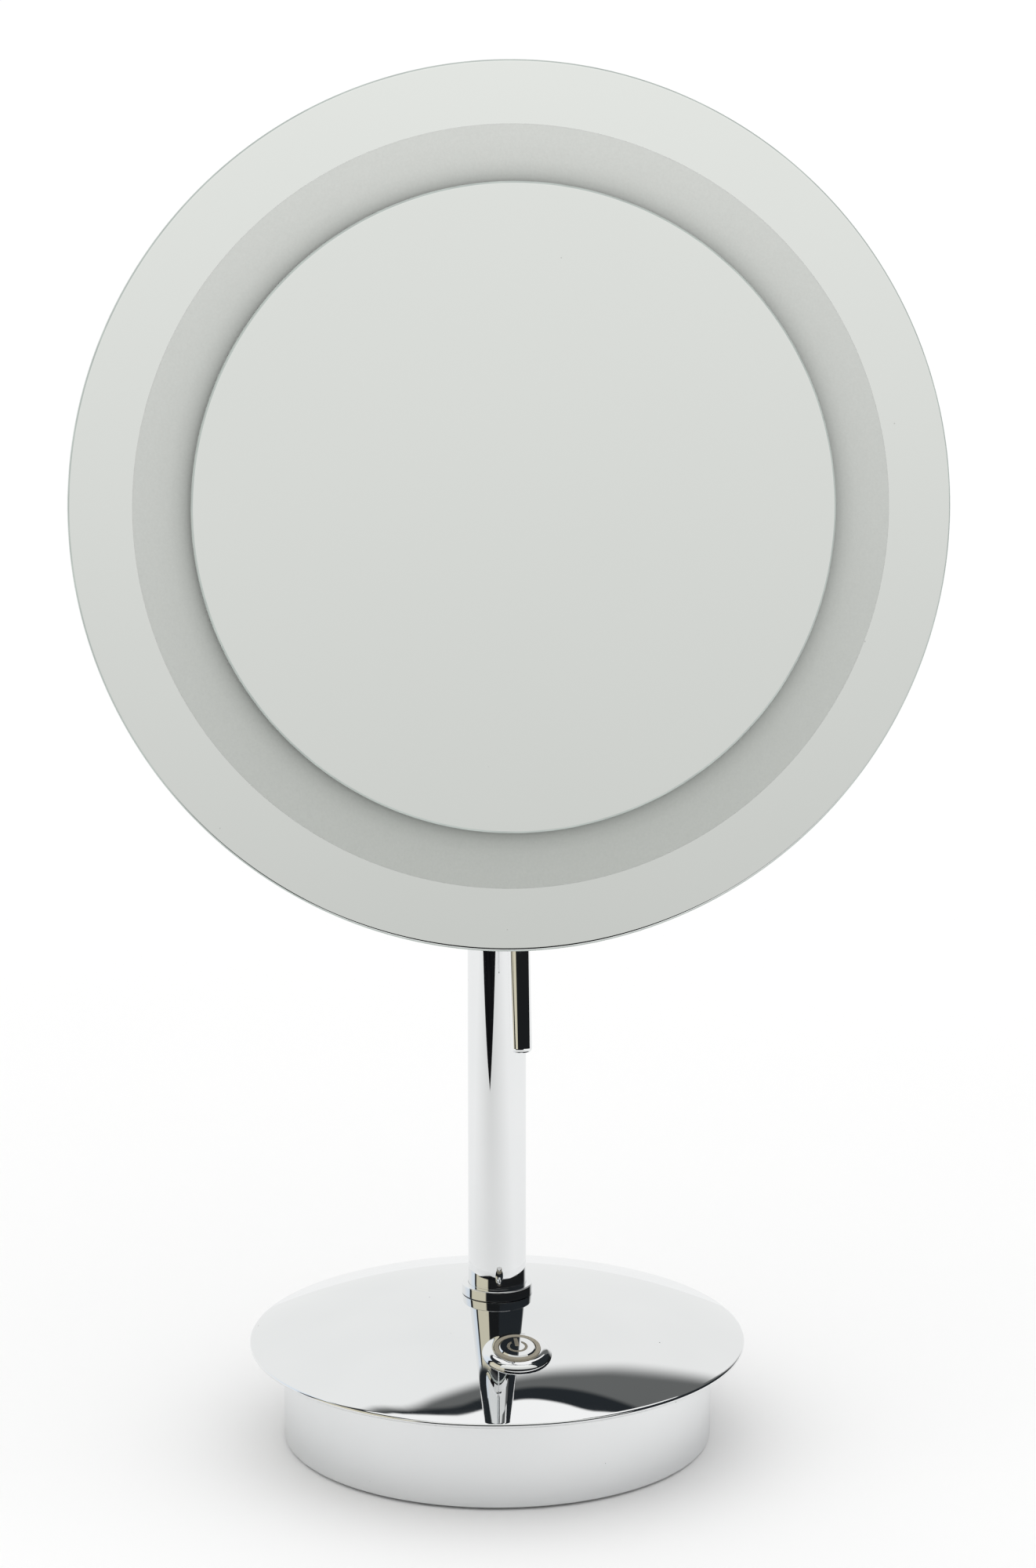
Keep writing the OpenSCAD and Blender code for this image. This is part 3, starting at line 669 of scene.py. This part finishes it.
def collar_ring():
    """The ring round the foot of the stem, with a seat for the tube and a recess for a washer."""
    fit = 0.02
    spindle_r = 5.0
    washer_r = 7.5
    washer_t = 0.4
    seat = 1.2
    low, high = levels("collar")
    outline = rounded([
        (stem_r + fit, low + seat), (spindle_r + fit, low + seat),
        (spindle_r + fit, low + washer_t), (washer_r, low + washer_t), (washer_r, low),
        (collar_r, low, 0.08), (collar_r, high, 0.26), (stem_r + fit, high, 0.1)])
    turned("collar_ring", outline, UPRIGHT, "stem", "collar", [CHROME])


stem()
collar_ring()


# ------------------------------------------------------------------ base

def dome():
    """The domed cover: a spherical sheet with a rounded lip and holes for the stem and switch."""
    arc_steps = 96
    lip_steps = 14
    lip_start = 0.15
    switch_hole = 6.6
    middle_curve = dome_curve - PLATE_T / 2
    start = math.degrees(math.asin(DOME_HOLE / dome_curve))
    edge = math.degrees(math.asin((rim_r - PLATE_T / 2) / dome_curve))
    lip_r = middle_curve * math.sin(math.radians(edge))
    lip_z = dome_centre_z + middle_curve * math.cos(math.radians(edge))
    outer = cap_arc(dome_curve, start, edge - lip_start, arc_steps)
    lip = arc(lip_r, lip_z, PLATE_T / 2, PLATE_T / 2, 90 - edge, -90 - edge, lip_steps)
    inner = cap_arc(dome_curve - PLATE_T, edge - lip_start, start, arc_steps)
    turned("dome", outer + lip + inner, UPRIGHT, "base", "base_dome", [CHROME],
           cut=lambda c: (c - button_origin).length < switch_hole * MM)


def drum():
    """The upright band of the base, with a flange under the dome."""
    flange = 6
    low, high = levels("base_drum")
    bore = drum_r - PLATE_T
    outline = rounded([
        (bore, low), (drum_r, low, 0.4), (drum_r, high, 0.3), (drum_r - flange, high),
        (drum_r - flange, high - PLATE_T), (bore, high - PLATE_T)])
    turned("drum", outline, UPRIGHT, "base", "base_drum", [CHROME])


def bezel():
    """The domed ring round the push button: its crown is a quarter of an ellipse, nearly."""
    bore = 5.55
    bore_low, bore_high = -0.05, 1.3
    foot = -0.15
    crown_r = 5.3
    crown_h = 1.65
    crown_start, crown_end, crown_steps = 3, 80, 40
    brink = (bore + 0.02, 1.49, 0.06)
    crown = arc(crown_r, foot, bezel_r - crown_r, crown_h, crown_start, crown_end, crown_steps)
    outline = rounded([(bore, bore_low), (bezel_r, foot)] + crown + [brink, (bore, bore_high)])
    turned("bezel", outline, BUTTON, "base", "switch_bezel", [CHROME], sharp=50)


dome()
drum()
bezel()


# ------------------------------------------------------------------ return spring

WIRE = 0.22
SPRING_TURNS = 4
RING_STEPS = 28
WIRE_STEPS = 10
END_TURN = 0.75
CLOSED_PITCH = 2.05


def coil(name, radius, wire, low, high, turns, matrix, materials):
    """Round wire wound into a spring, with three quarters of a closed turn at each end."""
    bm = bmesh.new()
    open_height = high - low - 2 * wire - 2 * wire * CLOSED_PITCH * END_TURN
    section = [2 * math.pi * k / WIRE_STEPS for k in range(WIRE_STEPS)]
    rings = []
    for i in range(turns * RING_STEPS + 1):
        turn = i / RING_STEPS
        angle = 2 * math.pi * turn
        out = Vector((math.cos(angle), math.sin(angle), 0))
        closed = min(turn, END_TURN) + max(turn - turns + END_TURN, 0.0)
        opened = min(max((turn - END_TURN) / (turns - 2 * END_TURN), 0.0), 1.0)
        climb = wire * CLOSED_PITCH * closed + open_height * opened
        centre = out * radius + Vector((0, 0, low + wire + climb))
        rings.append([bm.verts.new((centre + out * (wire * math.cos(t))
                                    + Vector((0, 0, wire * math.sin(t)))) * MM)
                      for t in section])
    for a, b in zip(rings, rings[1:]):
        for k in range(WIRE_STEPS):
            k2 = (k + 1) % WIRE_STEPS
            bm.faces.new((a[k], b[k], b[k2], a[k2]))
    bm.faces.new(rings[0])
    bm.faces.new(rings[-1])
    return finish_mesh(name, bm, matrix, materials)


def return_spring():
    """The spring under the push button, at its rest length."""
    low, high = (Vector(v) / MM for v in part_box("button_spring"))
    spring_r = (high.x - low.x) / 2 - WIRE
    slant = math.atan2(-push.y, push.z)
    # The box is as high as the slanted coil's length times the cosine and width times the sine.
    spring_span = (high.z - low.z - 2 * (spring_r + WIRE) * math.sin(slant)) / math.cos(slant)
    spring_foot = (BUTTON.inverted() @ middle("button_spring")).z / MM - spring_span / 2
    spring = coil("return_spring", spring_r, WIRE, spring_foot, spring_foot + spring_span,
                  SPRING_TURNS, BUTTON, [MATERIALS["spring_steel"]])
    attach(spring, "base")
    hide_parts("button_spring")
    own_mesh(spring)


return_spring()


# ------------------------------------------------------------------ studio
# What the chrome and the mirrors reflect. Directions are in degrees round from the back,
# towards the left, and elevations in degrees above the horizon.

WHITE = grey(1.0)
DARK = (0.012, 0.013, 0.014)
BEIGE = (0.68, 0.64, 0.5)
PAST_FLOOR = (0.9, 0.9, 0.89)
GAP_GREY = (0.13, 0.135, 0.135)
GAP_BLACK = (0.02, 0.024, 0.028)
SOFT_LIGHT = grey(1.06)
FLOOR_EDGE = (-16.0, -13.0)


def at(direction):
    """A direction as a place from 0 to 1 along the curves and the ramp round the studio."""
    return (direction + 180) / 360


class WorldNodes(Nodes):
    """The studio's nodes: coords is the direction of a ray."""

    def __init__(self, tree):
        self.tree = tree
        tree.nodes.clear()
        self.coords = self.add("ShaderNodeTexCoord").outputs["Generated"]
        x, y, z = self.split(self.coords)
        self.elevation = self.degrees(self.math("ARCSINE", z))
        turn = self.degrees(self.math("ARCTAN2", self.math("MULTIPLY", x, -1.0), y))
        self.place = self.math("DIVIDE", self.math("ADD", turn, 180.0), 360.0)

    def degrees(self, value):
        return self.math("MULTIPLY", value, 180 / math.pi)

    def curve(self, value, points):
        n = self.add("ShaderNodeFloatCurve")
        c = n.mapping.curves[0]
        c.points[0].location = points[0]
        c.points[1].location = points[-1]
        for x, y in points[1:-1]:
            c.points.new(x, y)
        n.mapping.update()
        self.link(value, n.inputs["Value"])
        return n.outputs["Value"]

    def heights(self, *points):
        """An elevation for every direction, from (direction, elevation) points."""
        inner = [(at(direction), height / 90) for direction, height in points]
        whole = [(0.0, inner[0][1])] + inner + [(1.0, inner[-1][1])]
        return self.math("MULTIPLY", self.curve(self.place, whole), 90.0)

    def above(self, low, high):
        """0 where the elevation is below low, 1 where it is over high, smooth between."""
        n = self.add("ShaderNodeMapRange")
        n.interpolation_type = "SMOOTHSTEP"
        self.feed(n.inputs["From Min"], low)
        self.feed(n.inputs["From Max"], high)
        self.link(self.elevation, n.inputs["Value"])
        return n.outputs["Result"]

    def past(self, height, below, over):
        """As above(), from a distance below a height to a distance over it."""
        return self.above(self.math("SUBTRACT", height, below), self.math("ADD", height, over))


def studio(world):
    world.use_nodes = True
    world.cycles.sampling_method = "NONE"
    w = WorldNodes(world.node_tree)

    # At eye level: a dark front, a white sweep behind, a bluish and a beige panel at the left.
    round_studio = w.ramp(
        w.place, (0.0, DARK), (at(-56), DARK), (at(-36), (0.885, 0.89, 0.885)),
        (at(38), (0.9, 0.91, 0.905)), (at(56), (0.8, 0.86, 0.93)), (at(70), (0.75, 0.83, 0.92)),
        (at(73), DARK), (at(80), DARK), (at(83), BEIGE), (at(133), BEIGE), (at(137), DARK),
        (1.0, DARK))

    # Above it, a dark gap with a soft lower edge, and over the gap a white ceiling.
    gap_low = w.heights(
        (-40, 30), (-34, 37.5), (-31, 41.3), (-28, 43.8), (-25, 45.8), (-22, 48), (-19, 49.5),
        (-10, 53), (0, 55.6), (6, 56.6), (11, 57.2), (14, 56), (18, 53.5))
    gap_black = w.heights(
        (-60, 10), (-50, 20), (-43, 50), (-20, 53.5), (-15, 54.5), (-3, 58.5), (2, 59.6),
        (8, 58.8), (15, 56.5), (22, 54))
    gap_high = w.heights(
        (-70, 70), (-48, 66), (-41, 45), (-37, 50.2), (-34, 54.5), (-31, 56.5), (-28, 57.5),
        (-22, 57.6), (-15, 58), (-5, 61), (2, 62), (5, 61.5), (11, 59.5), (14, 58), (18, 56),
        (30, 57), (50, 70))
    softness = w.heights((-40, 11), (-25, 6), (-10, 3), (5, 2))
    into_gap = w.above(w.math("SUBTRACT", gap_low, softness), w.math("ADD", gap_low, 1.5))
    gap = w.mix(w.past(gap_black, 0.8, 0.8), GAP_GREY, GAP_BLACK)
    with_gap = w.mix(into_gap, round_studio, gap)
    with_ceiling = w.mix(w.past(gap_high, 0.4, 0.4), with_gap, WHITE)

    # Below the edge of the floor the reflections are pale again.
    reflected = w.mix(w.above(*FLOOR_EDGE), PAST_FLOOR, with_ceiling)
    path = w.add("ShaderNodeLightPath")
    plain = w.mix(path.outputs["Is Camera Ray"], SOFT_LIGHT, WHITE)
    seen = w.mix(path.outputs["Is Glossy Ray"], plain, reflected)
    background = w.add("ShaderNodeBackground")
    w.link(seen, background.inputs["Color"])
    surface = w.add("ShaderNodeOutputWorld").inputs["Surface"]
    w.link(background.outputs["Background"], surface)


scene.world = bpy.data.worlds.new("studio")
studio(scene.world)


# ------------------------------------------------------------------ stage
# The floor, and two cards that only reflections show. Their places are in metres.

def stage_mesh(name, bm, material):
    mesh = bpy.data.meshes.new(name)
    bm.to_mesh(mesh)
    bm.free()
    obj = bpy.data.objects.new(name, mesh)
    mesh.materials.append(material)
    scene.collection.objects.link(obj)
    return obj


def sheet(name, corners, material):
    bm = bmesh.new()
    bm.faces.new([bm.verts.new(c) for c in corners])
    return stage_mesh(name, bm, material)


# The floor that the chrome shows ends like a table's; past it only the camera sees the floor.
FLOOR_Z = cad_box[0][2]
LEFT, FRONT, RIGHT, BACK = -0.72, -0.72, 0.72, 1.5
FAR = 14.0
HOLE_GAP = 0.4 * MM
# The middle and the reach of a painted shadow on the floor that the chrome shows.
SHADOW_SPOT = (-0.17, -0.28, FLOOR_Z)
SHADOW_SPOT_R = 0.36


def pale_floor():
    """White to the camera; a little greyer in the chrome, and there with a painted shadow, darkest
    in front at the left.
    """
    n = Nodes("pale_floor")
    n.put(Specular_IOR_Level=0.0)
    shadow_spot = n.add("ShaderNodeTexGradient")
    shadow_spot.gradient_type = "SPHERICAL"
    n.link(n.local(SHADOW_SPOT, scale=(SHADOW_SPOT_R, SHADOW_SPOT_R, SHADOW_SPOT_R)), shadow_spot.inputs["Vector"])
    direct = n.cloudy(n.noise(3.0, 2.0), (0.95, 0.95, 0.948), (0.96, 0.96, 0.958))
    # Painted shadow of the base, seen only in reflections: darkest in front at the left.
    shaded_in_chrome = n.ramp(shadow_spot.outputs["Fac"], (0.0, (0.895, 0.9, 0.9)), (1.0, (0.69, 0.695, 0.69)))
    path = n.add("ShaderNodeLightPath")
    n.colour(n.mix(path.outputs["Is Glossy Ray"], direct, shaded_in_chrome))
    n.rough(n.mapped(n.noise(40.0), 0.3, 0.7, 0.75, 0.9))
    return n.material


def near_floor(name, radius, material):
    """The floor round the object, with a hole that the base hides, for the battery door."""
    steps = 96
    turns = [2 * math.pi * (k + 0.5) / steps - math.pi for k in range(steps)]
    turns += [math.atan2(y, x) for x in (LEFT, RIGHT) for y in (FRONT, BACK)]
    bm = bmesh.new()
    spokes = []
    for a in sorted(turns):
        c, s = math.cos(a), math.sin(a)
        reach = min((RIGHT if c > 0 else LEFT) / c, (BACK if s > 0 else FRONT) / s)
        spokes.append([bm.verts.new((r * c, r * s, FLOOR_Z)) for r in (radius, reach)])
    for a, b in zip(spokes, spokes[1:] + spokes[:1]):
        bm.faces.new((a[0], a[1], b[1], b[0]))
    return stage_mesh(name, bm, material)


def far_floor(name, x0, y0, x1, y1, material):
    corners = [(x0, y0, FLOOR_Z), (x1, y0, FLOOR_Z), (x1, y1, FLOOR_Z), (x0, y1, FLOOR_Z)]
    sheet(name, corners, material).visible_glossy = False


def floor():
    material = pale_floor()
    _, door_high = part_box("battery_door")
    near_floor("floor", math.hypot(door_high[0], door_high[1]) + HOLE_GAP, material)
    far_floor("floor_front", -FAR, -FAR, FAR, FRONT, material)
    far_floor("floor_back", -FAR, BACK, FAR, FAR, material)
    far_floor("floor_left", -FAR, FRONT, LEFT, BACK, material)
    far_floor("floor_right", RIGHT, FRONT, FAR, BACK, material)


floor()


def glow(name, low, high):
    """Unlit, and brighter towards the top. It is clear in a reflection of a reflection."""
    n = Nodes(name)
    n.tree.nodes.remove(n.shader)
    _, _, z = n.split(n.add("ShaderNodeTexCoord").outputs["Generated"])
    light = n.add("ShaderNodeEmission")
    n.link(n.ramp(z, (0.0, low), (1.0, high)), light.inputs["Color"])
    clear = n.add("ShaderNodeBsdfTransparent")
    either = n.add("ShaderNodeMixShader")
    depth = n.add("ShaderNodeLightPath").outputs["Glossy Depth"]
    n.link(n.math("GREATER_THAN", depth, 1.5), either.inputs["Fac"])
    n.link(light.outputs["Emission"], either.inputs[1])
    n.link(clear.outputs["BSDF"], either.inputs[2])
    n.link(either.outputs["Shader"], n.surface)
    n.material.cycles.emission_sampling = "NONE"
    return n.material


def only_reflected(obj):
    obj.visible_camera = False
    obj.visible_diffuse = False
    obj.visible_shadow = False
    obj.visible_transmission = False


def mirror_card():
    """A white card in front of the face: what the mirrors show."""
    away = 0.13
    half = 0.235
    low = 0.1395
    high = 0.62
    centre = face_centre + normal * away
    lean = up_face.y / up_face.z

    def corner(x, z):
        return (x, centre.y + (z - centre.z) * lean, z)

    corners = [corner(-half, low), corner(half, low), corner(half, high), corner(-half, high)]
    light = glow("card_light", (0.643, 0.653, 0.635), (1.13, 1.142, 1.118))
    only_reflected(sheet("mirror_card", corners, light))


def floor_flag():
    """A dark flag on the floor, in front at the left: the tapering stripe up the stem."""
    lift = 0.0005
    stretch = 6

    def on_floor(azimuth, distance):
        """A point just over the floor, at degrees from the front and that far from the middle."""
        a = math.radians(azimuth)
        return Vector((distance * math.sin(a), -distance * math.cos(a), FLOOR_Z + lift))

    tip = on_floor(-35, 0.294)
    along_left = (on_floor(-62, 0.438) - tip) * stretch
    along_front = (on_floor(-14, 0.438) - tip) * stretch
    corners = [tip, tip + along_front, tip + along_front + along_left, tip + along_left]
    n = Nodes("black_flag")
    n.put(Specular_IOR_Level=0.0)
    n.colour(n.cloudy(n.noise(20.0), (0.004, 0.004, 0.005), (0.009, 0.009, 0.01)))
    only_reflected(sheet("floor_flag", corners, n.material))


mirror_card()
floor_flag()

scene.view_settings.view_transform = "Standard"
scene.cycles.max_bounces = 12
scene.cycles.glossy_bounces = 8
scene.cycles.diffuse_bounces = 4
